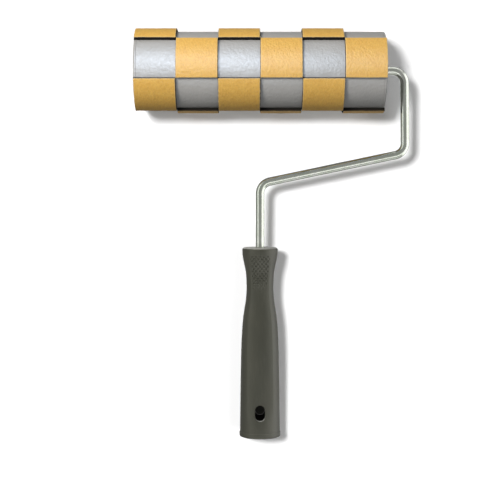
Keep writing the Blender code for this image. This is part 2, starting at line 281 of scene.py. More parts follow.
world = bpy.data.worlds.new("studio")
world.use_nodes = True
bpy.context.scene.world = world
sky = Bench(world.node_tree)
looked_at = sky.node("ShaderNodeLightPath")
in_gloss = sky.node("ShaderNodeLightPath", output="Is Glossy Ray")
direction = sky.node("ShaderNodeTexCoord")
upward = sky.node("ShaderNodeSeparateXYZ", None, {0: direction}, output=2)
table_top = 1.0 - sky.step(upward, *TABLE_BELOW)
gloss = SKY_GLOSS - SKY_LIGHT + table_top * (TABLE_GLOSS - SKY_GLOSS)
brightness = SKY_LIGHT + looked_at * (SKY_SEEN - SKY_LIGHT) + in_gloss * gloss
sky.join(brightness, world.node_tree.nodes["Background"].inputs["Strength"])
world.node_tree.nodes["Background"].inputs["Color"].default_value = (1.0, 1.0, 1.0, 1.0)
world.cycles.sampling_method = "NONE"
print("sky light:", SKY_LIGHT)


# %% Lamps
def lamp(name, place, aim, width, height, glow, colour=(1.0, 1.0, 1.0)):
    """A soft rectangular lamp at place that faces aim; glow is how bright its face is."""
    data = bpy.data.lights.new(name, "AREA")
    data.shape = "RECTANGLE"
    data.size = width
    data.size_y = height
    data.energy = glow * math.pi * width * height
    data.color = colour
    made = bpy.data.objects.new(name, data)
    made.location = place
    made.rotation_euler = (Vector(aim) - Vector(place)).to_track_quat("-Z", "Y").to_euler()
    made.visible_camera = False
    bpy.context.scene.collection.objects.link(made)
    return made


middle = (cad_low + cad_high) / 2
floor_lamp = lamp("floor_lamp", (-0.68, 0.32, 2.1), middle, 0.40, 0.40, 101.0)
floor_fill = lamp("floor_fill", (0.9, -0.45, 1.4), middle, 0.8, 0.8, 4.2)
floor_fill.visible_glossy = False
key = lamp("key_lamp", (-0.68, 0.46, 1.1), AXLE, 0.36, 0.36, 40.0)
key.visible_glossy = False
gloss_lamp = lamp("gloss_lamp", (-0.13, 0.31, 0.62), AXLE, 0.22, 0.40, 33.0,
                  (0.86, 0.92, 1.0))
gloss_lamp.visible_diffuse = False

cards = [
    lamp("right_card", (0.70, 0.0, 0.15), (0.0, 0.0, 0.15), 1.2, 1.1, 1.35),
    lamp("left_card", (-0.58, 0.0, 0.42), (0.0, 0.0, 0.02), 1.2, 0.30, 1.25),
    lamp("far_card", (0.0, 0.75, 0.08), (0.0, 0.0, 0.08), 1.3, 0.36, 1.2),
    lamp("front_card", (0.0, -0.75, 0.10), (0.0, 0.0, 0.10), 1.3, 0.40, 0.6),
    lamp("near_card", (0.0, -0.42, 0.70), (0.0, 0.0, 0.02), 1.3, 0.30, 1.45),
    lamp("grip_side_card", (0.55, -0.10, 0.15), (0.0, -0.08, 0.02), 0.9, 0.9, 0.35),
    lamp("grip_end_card", (0.0, -0.55, 0.45), (0.0, -0.13, 0.02), 0.6, 0.30, 2.6),
    lamp("grip_top_card", (0.0, 0.50, 0.22), (0.0, -0.01, 0.02), 0.7, 0.40, 2.5),
]
for card in cards:
    card.visible_diffuse = False
print("lamps:", len(bpy.data.lights))


def only_for(source, targets, state):
    """The lamp lights these objects only (INCLUDE), or everything else (EXCLUDE)."""
    group = bpy.data.collections.new("lit_by_" + source.name)
    for target in targets:
        group.objects.link(target)
    for member in group.collection_objects:
        member.light_linking.link_state = state
    source.light_linking.receiver_collection = group


only_for(floor_lamp, [floor], "INCLUDE")
only_for(floor_fill, [floor], "INCLUDE")
only_for(key, [floor], "EXCLUDE")

# %% [markdown]
# ## Foam
# A pad's face is fine open-cell foam, the colour of a pale sponge, and only the face is printed
# with. Below a thin band of the face, the pad's cut walls are painted near black: painted shade of
# the narrow crevices between pad and tube, which shows as a dark line where the knife went down.
# Under a glass the face is a skin of tiny burst bubbles, drawn out a little round the roller; its
# pores and dips are painted darker, as painted shade. Each pad carries its own place in metres
# across it, round it and out from the axle, and how near each point is to the cut edge, so that
# the grain turns with the pad and the rounded edge gets a painted highlight.

# %% Foam finish
PORE = 0.6 * MM
foam = Finish("ochre_foam", {"IOR": 1.5, "Specular IOR Level": 0.64})
on_pad = foam.marked("on_pad", output=1)
at_edge = foam.marked("at_edge")
cloud = foam.noise(on_pad, 5.0 * MM, detail=3.0, stretch=(0.8, 1.2, 1.0))
streak = foam.noise(on_pad, 0.9 * MM, detail=3.0, rough=0.6, stretch=(0.6, 1.9, 1.0))
lumps = foam.noise(on_pad, 1.9 * MM, detail=2.0, stretch=(0.8, 1.2, 1.0))
cell_place = foam.node("ShaderNodeVectorMath", {"operation": "SCALE"},
                       {0: on_pad, "Scale": 1.0 / PORE})
cells = foam.node("ShaderNodeTexVoronoi", None, {"Vector": cell_place, "Scale": 1.0})
pores = 1.0 - foam.step(cells, 0.10, 0.40)

body = foam.mix(foam.step(cloud, 0.30, 0.72), (0.83, 0.450, 0.052), (0.87, 0.500, 0.068))
body = foam.mix(foam.step(streak, 0.45, 0.75) * 0.45, body, (0.96, 0.66, 0.18))
# Darker where the skin's lumps dip and in the pores: painted shade in the foam's hollows.
body = foam.mix(foam.step(lumps, 0.60, 0.35) * 0.22, body, (0.62, 0.31, 0.03))
body = foam.mix(pores * 0.50, body, (0.52, 0.25, 0.03))
# Lighter near the cut edge: a painted highlight along the pad's rounded edge.
body = foam.mix(at_edge * 0.45, body, (0.95, 0.80, 0.50))
foam.feed(
    Base_Color=body,
    Roughness=0.48 + 0.16 * streak,
    Normal=foam.bump(0.4 * streak + 0.6 * lumps, 0.52 * MM),
)
print("finish:", foam.material.name)

# %% Painted shade on the pads' walls, below the face
FACE_LAYER = 0.16 * MM
LAYER_FADE = 0.10 * MM
out_from_axle = foam.node("ShaderNodeSeparateXYZ", None, {0: on_pad}, output=2)
# Below the face band the walls take a near-black shader: painted shade of the crevices between pad
# and tube.
wall_shade_line = PAD_RADIUS - FACE_LAYER
wall_shade_share = 1.0 - foam.step(out_from_axle, wall_shade_line - LAYER_FADE, wall_shade_line)
dark = foam.mix(streak, (0.006, 0.005, 0.004), (0.020, 0.017, 0.012))
wall_shade_shader = foam.node("ShaderNodeBsdfPrincipled", None,
                      {"Base Color": dark, "Roughness": 0.95, "Specular IOR Level": 0.08})
face_and_wall_shade = foam.node("ShaderNodeMixShader", None,
                     {0: wall_shade_share, 1: Flow(foam, foam.shader.outputs[0]), 2: wall_shade_shader})
foam.join(face_and_wall_shade, foam.tree.nodes["Material Output"].inputs["Surface"])
print("foam face, mm thick:", round(1000 * FACE_LAYER, 2))

# %% [markdown]
# ## The plastics
# Tube, end caps and hub cover are one white plastic, with the frosted bloom of a moulding that
# has been handled: its gloss comes and goes in small blotches, and the same blotches lighten its
# colour a little, partly random tone and partly painted sparkle. The handle is a dark grey-green
# plastic with a fine spark-eroded grain, rubbed a little smoother where it's held. Its top face is
# painted pale, a painted highlight for the light that it catches. Inside the hanging hole and the
# socket it's painted dull and near black as painted shade, so two shaders are mixed by how far a
# point is from the handle's own axis.
# The bushes are acetal, a creamy bearing plastic.

# %% White plastic finish
white = Finish("white_plastic", {"IOR": 1.7, "Specular IOR Level": 1.0,
                                 "Specular Tint": (0.84, 0.91, 1.0, 1.0)})
spot = white.place()
bloom = white.noise(spot, 2.1 * MM, detail=3.0, rough=0.6)
haze = white.noise(spot, 14.0 * MM, detail=2.0)
tone = white.mix(white.step(haze, 0.3, 0.7), (0.338, 0.313, 0.274), (0.368, 0.341, 0.300))
# The bloom lightens the colour in small blotches: random tone, and partly painted sparkle of the
# frosted gloss.
tone = white.mix(white.step(bloom, 0.5, 0.8) * 0.2, tone, (0.50, 0.49, 0.47))
white.feed(
    Base_Color=tone,
    Roughness=0.46 + 0.26 * bloom,
    Normal=white.bump(bloom, 0.40 * MM),
)
print("finish:", white.material.name)

# %% Handle plastic finish
grip = Finish("dark_handle_plastic", {"IOR": 1.5, "Specular IOR Level": 0.85,
                                      "Specular Tint": (1.0, 0.99, 0.88, 1.0)})
spot = grip.place()
grain = grip.noise(spot, 0.45 * MM, detail=3.0, rough=0.6)
rub = grip.noise(spot, 22.0 * MM, detail=3.0, stretch=(0.6, 1.6, 0.6))
drag = grip.noise(spot, 1.8 * MM, detail=2.0, stretch=(0.6, 7.0, 0.6))
shade = grip.mix(grip.step(rub, 0.3, 0.7), (0.026, 0.027, 0.018), (0.035, 0.035, 0.024))
shade = grip.mix(grip.step(drag, 0.5, 0.8) * 0.3, shade, (0.062, 0.061, 0.046))
# The top face is painted pale: a painted highlight for the light that it catches.
top_highlight = grip.marked("top_highlight")
grip.feed(
    Base_Color=grip.mix(top_highlight * (0.8 + 0.2 * grain), shade, (0.40, 0.40, 0.37)),
    Roughness=0.40 + 0.12 * rub + 0.10 * grain,
    Normal=grip.bump(grain, 0.05 * MM),
)
print("finish:", grip.material.name)

# %% Painted shade inside the handle's hollow
HOLLOW_RADIUS = (11.6 * MM, 12.7 * MM)
HOLLOW_FLOOR = (1.0 * MM, 4.0 * MM)
HOLLOW_TOP = (32.0 * MM, 38.0 * MM)
handle_foot = TOOL_PLANE @ Vector((0.0, -HANDLE_END_DOWN, 0.0))
handle_way = TOOL_PLANE.to_3x3() @ Vector((0.0, 1.0, 0.0))
arm = grip.node("ShaderNodeVectorMath", {"operation": "SUBTRACT"}, {0: spot, 1: handle_foot})
along = grip.node("ShaderNodeVectorMath", {"operation": "DOT_PRODUCT"}, {0: arm, 1: handle_way},
                  output=1)
aside = grip.node("ShaderNodeVectorMath", {"operation": "CROSS_PRODUCT"}, {0: arm, 1: handle_way})
off_axis = grip.node("ShaderNodeVectorMath", {"operation": "LENGTH"}, {0: aside}, output=1)
in_hollow = grip.step(along, *HOLLOW_FLOOR) * (1.0 - grip.step(along, *HOLLOW_TOP))
in_hollow = in_hollow * (1.0 - grip.step(off_axis, *HOLLOW_RADIUS))
# Near black and dull: painted shade inside the hanging hole and the socket.
hollow_shade = grip.node("ShaderNodeBsdfPrincipled", None,
                 {"Base Color": (0.024, 0.023, 0.018, 1.0), "Roughness": 0.95,
                  "Specular IOR Level": 0.04})
with_hollow_shade = grip.node("ShaderNodeMixShader", None,
                   {0: in_hollow, 1: Flow(grip, grip.shader.outputs[0]), 2: hollow_shade})
grip.join(with_hollow_shade, grip.tree.nodes["Material Output"].inputs["Surface"])
print("dirt reaches, mm up the handle:", round(1000 * HOLLOW_TOP[1], 1))

# %% Bush acetal finish
acetal = Finish("bush_acetal", {"IOR": 1.48, "Specular IOR Level": 0.5})
cast = acetal.noise(acetal.place(), 3.0 * MM, detail=3.0)
acetal.feed(
    Base_Color=acetal.mix(cast, (0.72, 0.71, 0.66), (0.80, 0.79, 0.75)),
    Roughness=0.32 + 0.12 * cast,
    Normal=acetal.bump(cast, 0.02 * MM),
)
print("finish:", acetal.material.name)

# %% [markdown]
# ## The metals
# The wire is mild steel, zinc plated and passivated, which leaves a faint green cast and a
# slightly cloudy gloss. The push nut is blued spring steel. A metal's colour is its reflection,
# so both are fully metallic and their detail is in roughness and in a very shallow bump.

# %% Zinc plate and spring steel
zinc = Finish("zinc_plate", {"Metallic": 1.0})
spot = zinc.place()
bath = zinc.noise(spot, 9.0 * MM, detail=4.0, rough=0.6)
drawn = zinc.noise(spot, 0.7 * MM, detail=2.0, stretch=(1.0, 6.0, 1.0))
zinc.feed(
    Base_Color=zinc.mix(zinc.step(bath, 0.3, 0.75), (0.60, 0.645, 0.55), (0.69, 0.71, 0.65)),
    Roughness=0.17 + 0.10 * bath + 0.05 * drawn,
    Normal=zinc.bump(drawn, 0.012 * MM),
)

steel = Finish("blued_spring_steel", {"Metallic": 1.0})
temper = steel.noise(steel.place(), 2.5 * MM, detail=4.0)
steel.feed(
    Base_Color=steel.mix(temper, (0.24, 0.26, 0.31), (0.40, 0.39, 0.38)),
    Roughness=0.25 + 0.15 * temper,
    Normal=steel.bump(temper, 0.01 * MM),
)
print("finishes:", zinc.material.name, steel.material.name)

# %% [markdown]
# ## From points and faces to a piece
# Every piece goes through one door. It merges points that fall together, turns all faces
# outwards, shades smoothly up to a crease angle, hides the CAD solids that it stands for, and
# rides on its body.

# %% Make a piece
CREASE = math.radians(32.0)
SAME_POINT = 0.0005 * MM


def piece(name, points, faces, finish, slot, body, replaced=None, place=Matrix(), marks=None):
    """A finished piece from points, faces and the body that it rides on."""
    mesh = bpy.data.meshes.new(name)
    mesh.from_pydata(points, [], faces)
    for mark, (kind, values) in (marks or {}).items():
        layer = mesh.attributes.new(mark, kind, "POINT")
        layer.data.foreach_set("vector" if kind == "FLOAT_VECTOR" else "value", values)
    shape = bmesh.new()
    shape.from_mesh(mesh)
    bmesh.ops.remove_doubles(shape, verts=shape.verts, dist=SAME_POINT)
    bmesh.ops.recalc_face_normals(shape, faces=shape.faces)
    shape.to_mesh(mesh)
    shape.free()
    mesh.transform(place)
    mesh.shade_smooth()
    mesh.set_sharp_from_angle(angle=CREASE)
    mesh.materials.append(finish.material)
    made = bpy.data.objects.new(name, mesh)
    bpy.context.scene.collection.objects.link(made)
    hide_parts(replaced or name)
    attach(made, body)
    return made


def quads(rows, columns, closed_rows=False, closed_columns=True):
    """Faces of a sheet of points that is stored row by row."""
    faces = []
    for i in range(rows if closed_rows else rows - 1):
        upper = i * columns
        lower = (i + 1) % rows * columns
        for j in range(columns if closed_columns else columns - 1):
            k = (j + 1) % columns
            faces.append((upper + j, upper + k, lower + k, lower + j))
    return faces


print("pieces can be made")

# %% [markdown]
# ## Turned pieces
# Tube, caps, bushes, washers, collar and nut are all round. Each is drawn as a closed outline of
# radius and height with an edge rounding at every corner, then turned once about its axis. A
# real moulding has no razor edges, and the roundings are what catch the light.

# %% Round the corners of an outline, then turn it
def arc_round(before, corner, after, radius, steps):
    """Points of the arc that rounds off a corner between two others."""
    back = (before - corner).normalized()
    ahead = (after - corner).normalized()
    half = back.angle(ahead) / 2
    centre = corner + (back + ahead).normalized() * (radius / math.sin(half))
    start = corner + back * (radius / math.tan(half)) - centre
    turn = math.pi - 2 * half
    side = 1.0 if back.x * ahead.y - back.y * ahead.x < 0 else -1.0
    points = []
    for k in range(steps + 1):
        arm = start.copy()
        arm.rotate(Matrix.Rotation(side * turn * k / steps, 2))
        points.append(centre + arm)
    return points


def softened(corners, steps=4):
    """Points of a closed outline of (radius, height, edge rounding) corners."""
    spots = [Vector(corner[:2]) for corner in corners]
    points = []
    for i, spot in enumerate(spots):
        edge = corners[i][2]
        if edge == 0.0:
            points.append(spot)
            continue
        points += arc_round(spots[i - 1], spot, spots[(i + 1) % len(spots)], edge, steps)
    return points


def turned(corners, steps=128):
    """Points and faces of an outline turned about the local Z axis."""
    outline = softened(corners)
    angles = [2 * math.pi * j / steps for j in range(steps)]
    points = [(p.x * math.cos(a), p.x * math.sin(a), p.y) for p in outline for a in angles]
    return points, quads(len(outline), steps, closed_rows=True)


def ring(inner, outer, bottom, top, edge):
    """The corners of a plain ring."""
    return [(outer, top, edge), (outer, bottom, edge), (inner, bottom, edge), (inner, top, edge)]


INBOARD = 1.0
OUTBOARD = -1.0
END_NAMES = {"inboard": INBOARD, "outboard": OUTBOARD}


def at_end(side):
    """Puts a shape that is drawn with +z out of the roller at one of the roller's ends."""
    end = Matrix.Translation(AXLE + Vector((side * ROLLER_LENGTH / 2, 0.0, 0.0)))
    return end @ Matrix.Rotation(side * math.pi / 2, 4, "Y")


print("turning ready")

# %% [markdown]
# ## The core tube
# An extruded white tube, cut square, with the end caps pushed into it. The pads are glued on it,
# and between them it shows as the white squares of the checkerboard.

# %% Core tube
TUBE_RADIUS = 28.05 * MM
TUBE_WALL = 2.0 * MM
CAP_FLANGE = 1.8 * MM
GAP = 0.3 * MM
tube_half = ROLLER_LENGTH / 2 - CAP_FLANGE - GAP / 3
tube_points, tube_faces = turned(
    ring(TUBE_RADIUS - TUBE_WALL, TUBE_RADIUS, -tube_half, tube_half, 0.15 * MM), 240)
lying = Matrix.Translation(AXLE) @ Matrix.Rotation(math.pi / 2, 4, "Y")
piece("tube", tube_points, tube_faces, white, "white_plastic", "roller", "core_tube", lying)
print("tube length, mm:", round(2000 * tube_half, 1))

# %% [markdown]
# ## The end caps
# Each cap is a moulded plug: a flange that closes the tube, a spigot inside it, a sunk web with
# six ribs, and a hub with a counterbore for the bush. The ribs are little blocks with rounded
# tops, joined to the turned body with a Boolean so that the cap stays one solid.

# %% Cap outline
SPIGOT = TUBE_RADIUS - TUBE_WALL - GAP
CAP_DEPTH = 15.0 * MM
RIM_INNER = 22.5 * MM
WEB_TOP = -5.5 * MM
WEB_BOTTOM = -8.0 * MM
HUB_RADIUS = 11.5 * MM
HUB_BOTTOM = -18.0 * MM
COUNTERBORE = 8.3 * MM
COUNTERBORE_FLOOR = -6.5 * MM
BUSH_SEAT = 6.3 * MM

cap_corners = [
    (TUBE_RADIUS, 0.0, 1.2 * MM),
    (TUBE_RADIUS, -CAP_FLANGE, 0.1 * MM),
    (SPIGOT, -CAP_FLANGE, 0.1 * MM),
    (SPIGOT, -CAP_DEPTH, 0.5 * MM),
    (SPIGOT - 2.0 * MM, -CAP_DEPTH, 0.5 * MM),
    (SPIGOT - 2.0 * MM, WEB_BOTTOM, 0.6 * MM),
    (HUB_RADIUS, WEB_BOTTOM, 0.6 * MM),
    (HUB_RADIUS, HUB_BOTTOM, 0.4 * MM),
    (BUSH_SEAT, HUB_BOTTOM, 0.4 * MM),
    (BUSH_SEAT, COUNTERBORE_FLOOR, 0.2 * MM),
    (COUNTERBORE, COUNTERBORE_FLOOR, 0.3 * MM),
    (COUNTERBORE, 0.0, 0.4 * MM),
    (HUB_RADIUS, 0.0, 0.5 * MM),
    (HUB_RADIUS, WEB_TOP, 0.8 * MM),
    (RIM_INNER, WEB_TOP, 0.8 * MM),
    (RIM_INNER, 0.0, 0.5 * MM),
]

# %% Ribs
RIBS = 6
RIB_WIDTH = 2.0 * MM
RIB_TOP = -1.5 * MM
RIB_OVERLAP = 0.8 * MM
RIB_EDGE = 0.45 * MM


def rib_mesh():
    """Six radial ribs that start inside the hub and end inside the rim."""
    inner = HUB_RADIUS - RIB_OVERLAP
    outer = RIM_INNER + RIB_OVERLAP
    bottom = WEB_TOP - RIB_OVERLAP
    shape = bmesh.new()
    for i in range(RIBS):
        block = bmesh.ops.create_cube(shape, size=1.0)["verts"]
        size = Vector((outer - inner, RIB_WIDTH, RIB_TOP - bottom))
        bmesh.ops.scale(shape, verts=block, vec=size)
        centre = Vector(((inner + outer) / 2, 0.0, (RIB_TOP + bottom) / 2))
        bmesh.ops.translate(shape, verts=block, vec=centre)
        turn = Matrix.Rotation(2 * math.pi * i / RIBS, 3, "Z")
        bmesh.ops.rotate(shape, verts=block, matrix=turn)
    tops = [e for e in shape.edges if all(abs(v.co.z - RIB_TOP) < RIB_EDGE for v in e.verts)]
    bmesh.ops.bevel(shape, geom=tops, offset=RIB_EDGE, segments=3, affect="EDGES")
    mesh = bpy.data.meshes.new("ribs")
    shape.to_mesh(mesh)
    shape.free()
    return mesh


def carve(target, tool_mesh, operation, place):
    """Cuts or joins a tool into a piece for good, and shades the result again."""
    tool = bpy.data.objects.new("tool", tool_mesh)
    tool_mesh.transform(place)
    bpy.context.scene.collection.objects.link(tool)
    boolean = target.modifiers.new("carve", "BOOLEAN")
    boolean.operation = operation
    boolean.solver = "EXACT"
    boolean.object = tool
    bpy.context.view_layer.update()
    graph = bpy.context.evaluated_depsgraph_get()
    carved = bpy.data.meshes.new_from_object(target.evaluated_get(graph))
    target.modifiers.clear()
    target.data = carved
    bpy.data.objects.remove(tool)
    carved.shade_smooth()
    carved.set_sharp_from_angle(angle=CREASE)


for end, side in END_NAMES.items():
    cap_points, cap_faces = turned(cap_corners, 160)
    cap = piece("cap_" + end, cap_points, cap_faces, white, "white_plastic", "roller",
                "end_cap_" + end, at_end(side))
    carve(cap, rib_mesh(), "UNION", at_end(side))
    print(cap.name, "faces:", len(cap.data.polygons))

# %% [markdown]
# ## What turns on the axle
# A flanged bush sits in each hub. Inboard, a collar fixed on the axle and a thin washer take the
# push of the wall. Outboard, a washer and a dished push nut hold the roller on, and a hub cover
# snaps over them.

# %% Bushes, washers, collar, nut and cover
SMALL_STEPS = 96
WIRE_RADIUS = 3.15 * MM
WIRE_BORE = WIRE_RADIUS + GAP
BUSH_TOP = -5.0 * MM
BUSH_FLANGE_BOTTOM = COUNTERBORE_FLOOR + GAP
BUSH_BOTTOM = -17.5 * MM
NUT_RADIUS = 6.4 * MM
NUT_TOP = -2.9 * MM
NUT_BOTTOM = -3.6 * MM
NUT_DISH = 0.5 * MM
COVER_RADIUS = COUNTERBORE - GAP
COVER_SKIRT = -2.2 * MM
COVER_DISC = -1.2 * MM
COVER_CENTRE = 0.02 * MM

bush_corners = [
    (7.6 * MM, BUSH_TOP, 0.25 * MM),
    (7.6 * MM, BUSH_FLANGE_BOTTOM, 0.2 * MM),
    (6.0 * MM, BUSH_FLANGE_BOTTOM, 0.1 * MM),
    (6.0 * MM, BUSH_BOTTOM, 0.4 * MM),
    (3.5 * MM, BUSH_BOTTOM, 0.3 * MM),
    (3.5 * MM, BUSH_TOP, 0.3 * MM),
]
washer_corners = ring(WIRE_BORE, 6.6 * MM, -4.7 * MM, -3.9 * MM, 0.15 * MM)
for end, side in END_NAMES.items():
    piece("flanged_bush_" + end, *turned(bush_corners, SMALL_STEPS), acetal, "acetal", "roller",
          "bush_" + end, at_end(side))
    piece("washer_" + end, *turned(washer_corners, SMALL_STEPS), zinc, "zinc_plated_steel",
          "frame", "thrust_washer_" + end, at_end(side))

collar_corners = ring(WIRE_BORE, 6.2 * MM, -3.6 * MM, -0.6 * MM, 0.35 * MM)
piece("axle_collar", *turned(collar_corners, SMALL_STEPS), zinc, "zinc_plated_steel", "frame",
      "stop_collar", at_end(INBOARD))

nut_corners = [
    (NUT_RADIUS, NUT_BOTTOM + NUT_DISH, 0.1 * MM),
    (NUT_RADIUS, NUT_BOTTOM, 0.1 * MM),
    (NUT_RADIUS - 2 * NUT_DISH, NUT_BOTTOM, 0.2 * MM),
    (WIRE_BORE, NUT_TOP - NUT_DISH, 0.05 * MM),
    (WIRE_BORE, NUT_TOP, 0.05 * MM),
    (NUT_RADIUS - 2 * NUT_DISH, NUT_BOTTOM + NUT_DISH, 0.2 * MM),
]
piece("retaining_nut", *turned(nut_corners, SMALL_STEPS), steel, "spring_steel", "frame",
      "push_nut", at_end(OUTBOARD))

cover_corners = [
    (COVER_RADIUS, 0.0, 0.5 * MM),
    (COVER_RADIUS, COVER_SKIRT, 0.2 * MM),
    (COVER_RADIUS - 1.0 * MM, COVER_SKIRT, 0.2 * MM),
    (COVER_RADIUS - 1.0 * MM, COVER_DISC, 0.3 * MM),
    (0.0, COVER_DISC, 0.0),
    (0.0, -COVER_CENTRE, 0.0),
    (2.6 * MM, -COVER_CENTRE, 0.1 * MM),
    (3.0 * MM, -0.25 * MM, 0.1 * MM),
    (5.6 * MM, -0.25 * MM, 0.1 * MM),
    (6.0 * MM, 0.0, 0.1 * MM),
]
piece("snap_cover", *turned(cover_corners, 128), white, "white_plastic", "roller",
      "hub_cover", at_end(OUTBOARD))
print("washers, mm across:", round(2000 * washer_corners[0][0], 1))

# %% [markdown]
# ## The foam pads
# Eighteen pads in six columns and six rows, on every other square. A knife cut each one from a
# sheet, so it's square, with a fine rounded edge and walls that flare a hair on their way down to
# the tube. Each is modelled as a sheet of points about 0.4 mm apart. The skin rises and falls by
# up to a tenth of a millimetre, and the cut edge wanders as much, because foam never cuts clean.

# %% Pad sizes
COLUMNS = 6
ROWS = 6
COLUMN_WIDTH = ROLLER_LENGTH / COLUMNS
ROW_ANGLE = 2 * math.pi / ROWS
FIRST_ROW = math.radians(12.8)
PAD_WIDTH = COLUMN_WIDTH - GAP
PAD_ARC = math.radians(59.2) * PAD_RADIUS
GLUE_SINK = 0.05 * MM
PAD_FOOT = TUBE_RADIUS - GLUE_SINK
PAD_EDGE = 0.32 * MM
PAD_STEP = 0.42 * MM
EDGE_STEPS = (0.0, 0.06, 0.2, 0.42, 0.7, 1.0)
SKIN_WAVE = 0.10 * MM
SKIN_PATCH = (0.9 * MM, 2.4 * MM)
CUT_WANDER = 0.10 * MM
CUT_PATCH = 2.0 * MM
CUT_TRACKS = (3.1, 7.7)
WALL_RINGS = 4
WALL_FLARE = 0.20 * MM


def cut_positions(length):
    """Positions along one side: even in the middle, closer together over the rounded edges."""
    lead = [PAD_EDGE * s for s in EDGE_STEPS]
    count = round((length - 2 * PAD_EDGE) / PAD_STEP)
    inside = np.linspace(PAD_EDGE, length - PAD_EDGE, count + 1)[1:-1]
    return np.concatenate([lead, inside, [length - s for s in reversed(lead)]]) - length / 2


across = cut_positions(PAD_WIDTH)
around = cut_positions(PAD_ARC)
print("points on a pad's face:", len(across) * len(around))


# %% One pad
def pad_shape(where):
    """Points, faces and marks of a pad; where is a point in the foam block it was cut from."""
    rows, columns = len(across), len(around)
    points, edge = [], []
    for s, t in itertools.product(across, around):
        from_edge = min(PAD_WIDTH / 2 - abs(s), PAD_ARC / 2 - abs(t))
        fall = max(0.0, PAD_EDGE - from_edge)
        drop = PAD_EDGE - math.sqrt(max(0.0, PAD_EDGE ** 2 - fall ** 2))
        spot = Vector((s / SKIN_PATCH[0], t / SKIN_PATCH[1], 0.0)) + where
        drop += SKIN_WAVE * (1.0 - noise.noise(spot) * 0.6 - noise.noise(spot * 2.3) * 0.4)
        stray = CUT_WANDER * max(0.0, 1.0 - from_edge / (3 * PAD_EDGE))
        track = Vector((t / CUT_PATCH, CUT_TRACKS[0], 0.0)) + where
        s += stray * noise.noise(track) * math.copysign(1, s)
        track = Vector((s / CUT_PATCH, CUT_TRACKS[1], 0.0)) + where
        t += stray * noise.noise(track) * math.copysign(1, t)
        points.append((s, t, PAD_RADIUS - drop))
        edge.append(max(0.0, 1.0 - from_edge / (2.0 * PAD_EDGE)))
    border = list(range(columns))
    border += [i * columns + columns - 1 for i in range(1, rows)]
    border += [(rows - 1) * columns + j for j in range(columns - 2, -1, -1)]
    border += [i * columns for i in range(rows - 2, 0, -1)]
    faces = quads(rows, columns, closed_columns=False)
    above = border
    for k in range(1, WALL_RINGS + 1):
        first = len(points)
        for index in border:
            s, t, top = points[index]
            flare = 2 * WALL_FLARE * k / WALL_RINGS
            points.append((s * (1 + flare / PAD_WIDTH), t * (1 + flare / PAD_ARC),
                           top + (PAD_FOOT - top) * k / WALL_RINGS))
            # The rim's painted highlight fades away down the wall.
            edge.append(0.6 * (1.0 - k / WALL_RINGS))
        level = list(range(first, first + len(border)))
        for j in range(len(border)):
            m = (j + 1) % len(border)
            faces.append((above[j], above[m], level[m], level[j]))
        above = level
    left = above[:columns]
    right = above[columns - 1:columns - 1 + rows]
    far = above[columns + rows - 2:2 * columns + rows - 2]
    near = above[2 * columns + rows - 3:] + above[:1]
    return points, faces, edge, (left, right, far, near)


def pad_bottom(left, right, far, near):
    """Strips that close a pad's foot; the first and the last take in all of the edge beside them."""
    far = far[::-1]
    first = (left[0], left[1], far[1], *near[:-1])
    last = (left[-2], *right, far[-2])
    inner = [(left[j], left[j + 1], far[j + 1], far[j]) for j in range(1, len(left) - 2)]
    return [first, *inner, last]


# %% [markdown]
# The flat pad is wrapped round the tube last. Its second coordinate becomes an angle at the
# pad's outer radius, so the grain keeps its size on the curved face.

# %% Wrap and place all eighteen pads
def wrapped(points, column, row):
    """Bends flat pad points round the axle at a column and row of the checkerboard."""
    middle_x = AXLE.x + (column - (COLUMNS + 1) / 2) * COLUMN_WIDTH
    middle_angle = FIRST_ROW + ROW_ANGLE * (row - 1)
    bent = []
    for s, t, radius in points:
        angle = middle_angle + t / PAD_RADIUS
        bent.append((middle_x + s, AXLE.y + radius * math.sin(angle),
                     AXLE.z + radius * math.cos(angle)))
    return bent


BLOCK_STEP = (0.037, 0.041)
pads = []
for column in range(1, COLUMNS + 1):
    for row in range(1, ROWS + 1):
        if (row + column) % 2 == 0:
            continue
        where = Vector((17.3 * column, 9.1 * row, 4.7 * (column + row)))
        flat_points, pad_faces, edges, (left, right, far, near) = pad_shape(where)
        pad_faces += pad_bottom(left, right, far, near)
        block = np.array(flat_points)
        block += np.array([BLOCK_STEP[0] * column, BLOCK_STEP[1] * row, 0.0])
        marks = {
            "on_pad": ("FLOAT_VECTOR", block.astype(np.float32).ravel()),
            "at_edge": ("FLOAT", np.array(edges, np.float32)),
        }
        node = f"pad_c{column}_r{row}"
        pad = piece("foam_" + node, wrapped(flat_points, column, row), pad_faces, foam, "foam",
                    "roller", node, marks=marks)
        pads.append(pad)
print("pads:", len(pads), "faces each:", len(pads[0].data.polygons))

# %% [markdown]
# ## The wire frame
# One steel rod, bent three times on the same former: along the axle, down beside the roller,
# across, and into the handle. It's a circle swept along straight runs and true arcs. The path is
# flat, so every ring can share the plane's own upright and nothing twists.

# %% The wire's path
BEND_RADIUS = 8.8 * MM
BEND_STEP = math.radians(2.5)
RUN_STEP = 6.0 * MM
WIRE_SIDES = 48
WIRE_END_EDGE = 0.6 * MM
wire_corners = [
    Vector((-ROLLER_LENGTH / 2 + 2.3 * MM, 0.0)),
    Vector((105.0 * MM, 0.0)),
    Vector((105.8 * MM, -59.6 * MM)),
    Vector((0.0, -81.8 * MM)),
    Vector((0.0, -HANDLE_TOP_DOWN - 70.0 * MM)),
]


def rounded_path(corners, radius):
    """Points along straight runs joined by arcs of one bend radius."""
    points = [corners[0].copy()]
    for before, corner, after in zip(corners, corners[1:], corners[2:]):
        turn = (corner - before).angle(after - corner)
        points += arc_round(before, corner, after, radius, round(turn / BEND_STEP))
    points.append(corners[-1].copy())
    return points


